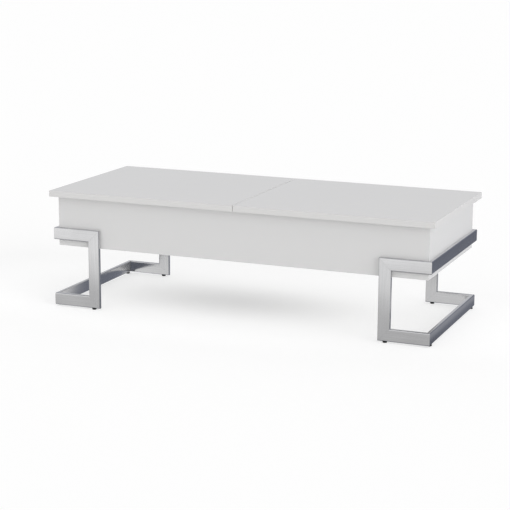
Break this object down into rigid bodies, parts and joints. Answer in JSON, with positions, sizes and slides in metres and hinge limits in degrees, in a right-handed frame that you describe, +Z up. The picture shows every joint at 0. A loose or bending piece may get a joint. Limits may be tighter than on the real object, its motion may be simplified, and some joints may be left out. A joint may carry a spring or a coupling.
{
  "type": "lift top coffee table",
  "caption": "Rectangular coffee table with a split top; each half lifts forward on parallel arms over a storage compartment, on C-shaped steel tube leg frames.",
  "frame": {"origin": "on the floor under the middle of the table", "axes": "+X along the table to the right, +Y from front to back, +Z up"},
  "size_m": [1.1938, 0.508, 0.3556],
  "materials": {
    "steel": "bright steel tube, finely brushed along its length",
    "lacquer": "white high-gloss lacquer on fibreboard",
    "inner_board": "white melamine-faced board",
    "lift_steel": "black powder-coated pressed steel",
    "zinc": "bright zinc plated steel",
    "nylon": "natural nylon",
    "foot_plastic": "black moulded plastic"
  },
  "bodies": {
    "base": {"left_upper_end_bar": "steel", "left_upper_front_bar": "steel", "left_upper_rear_bar": "steel", "left_lower_end_bar": "steel", "left_lower_front_bar": "steel", "left_lower_rear_bar": "steel", "left_front_post": "steel", "left_rear_post": "steel", "left_feet": "foot_plastic", "right_upper_end_bar": "steel", "right_upper_front_bar": "steel", "right_upper_rear_bar": "steel", "right_lower_end_bar": "steel", "right_lower_front_bar": "steel", "right_lower_rear_bar": "steel", "right_front_post": "steel", "right_rear_post": "steel", "right_feet": "foot_plastic", "frame_bolts": "zinc", "case_front": "lacquer", "case_back": "lacquer", "case_left_end": "lacquer", "case_right_end": "lacquer", "case_divider": "inner_board", "case_floor": "inner_board", "corner_splines": "inner_board", "top_bumpers": "nylon", "left_outer_base_plate": "lift_steel", "left_inner_base_plate": "lift_steel", "right_outer_base_plate": "lift_steel", "right_inner_base_plate": "lift_steel", "base_rivets": "zinc", "base_washers": "nylon", "base_plate_pins": "zinc", "base_plate_screws": "zinc", "left_springs": "zinc", "right_springs": "zinc"},
    "left_arms": {"left_outer_main_arm": "lift_steel", "left_inner_main_arm": "lift_steel", "left_cross_bar": "lift_steel"},
    "left_outer_link": {"left_outer_follower_arm": "lift_steel"},
    "left_inner_link": {"left_inner_follower_arm": "lift_steel"},
    "left_top_half": {"left_top": "lacquer", "left_outer_top_bracket": "lift_steel", "left_inner_top_bracket": "lift_steel", "left_top_rivets": "zinc", "left_top_washers": "nylon", "left_top_screws": "zinc"},
    "right_arms": {"right_outer_main_arm": "lift_steel", "right_inner_main_arm": "lift_steel", "right_cross_bar": "lift_steel"},
    "right_outer_link": {"right_outer_follower_arm": "lift_steel"},
    "right_inner_link": {"right_inner_follower_arm": "lift_steel"},
    "right_top_half": {"right_top": "lacquer", "right_outer_top_bracket": "lift_steel", "right_inner_top_bracket": "lift_steel", "right_top_rivets": "zinc", "right_top_washers": "nylon", "right_top_screws": "zinc"}
  },
  "joints": [
    {"name": "left_lift", "type": "hinge", "parent": "base", "child": "left_arms", "pos_m": [-0.2847, -0.076, 0.2721], "axis": [1, 0, 0], "range_deg": [0, 115], "stiffness_Nm_per_rad": 1.7, "springref_deg": 143.24, "deforming": ["left_springs"]},
    {"name": "left_top_level", "type": "hinge", "parent": "left_arms", "child": "left_top_half", "pos_m": [-0.2847, 0.154, 0.2721], "axis": [1, 0, 0], "range_deg": [-115, 0]},
    {"name": "left_outer_link_turn", "type": "hinge", "parent": "base", "child": "left_outer_link", "pos_m": [-0.5554, -0.136, 0.3071], "axis": [1, 0, 0], "range_deg": [0, 115]},
    {"name": "left_inner_link_turn", "type": "hinge", "parent": "base", "child": "left_inner_link", "pos_m": [-0.014, -0.136, 0.3071], "axis": [1, 0, 0], "range_deg": [0, 115]},
    {"name": "right_lift", "type": "hinge", "parent": "base", "child": "right_arms", "pos_m": [0.2847, -0.076, 0.2721], "axis": [1, 0, 0], "range_deg": [0, 115], "stiffness_Nm_per_rad": 1.7, "springref_deg": 143.24, "deforming": ["right_springs"]},
    {"name": "right_top_level", "type": "hinge", "parent": "right_arms", "child": "right_top_half", "pos_m": [0.2847, 0.154, 0.2721], "axis": [1, 0, 0], "range_deg": [-115, 0]},
    {"name": "right_outer_link_turn", "type": "hinge", "parent": "base", "child": "right_outer_link", "pos_m": [0.5554, -0.136, 0.3071], "axis": [1, 0, 0], "range_deg": [0, 115]},
    {"name": "right_inner_link_turn", "type": "hinge", "parent": "base", "child": "right_inner_link", "pos_m": [0.014, -0.136, 0.3071], "axis": [1, 0, 0], "range_deg": [0, 115]}
  ],
  "couplings": [
    {"joint": "left_top_level", "follows": "left_lift", "ratio": -1},
    {"joint": "left_outer_link_turn", "follows": "left_lift", "ratio": 1},
    {"joint": "left_inner_link_turn", "follows": "left_lift", "ratio": 1},
    {"joint": "right_top_level", "follows": "right_lift", "ratio": -1},
    {"joint": "right_outer_link_turn", "follows": "right_lift", "ratio": 1},
    {"joint": "right_inner_link_turn", "follows": "right_lift", "ratio": 1}
  ]
}
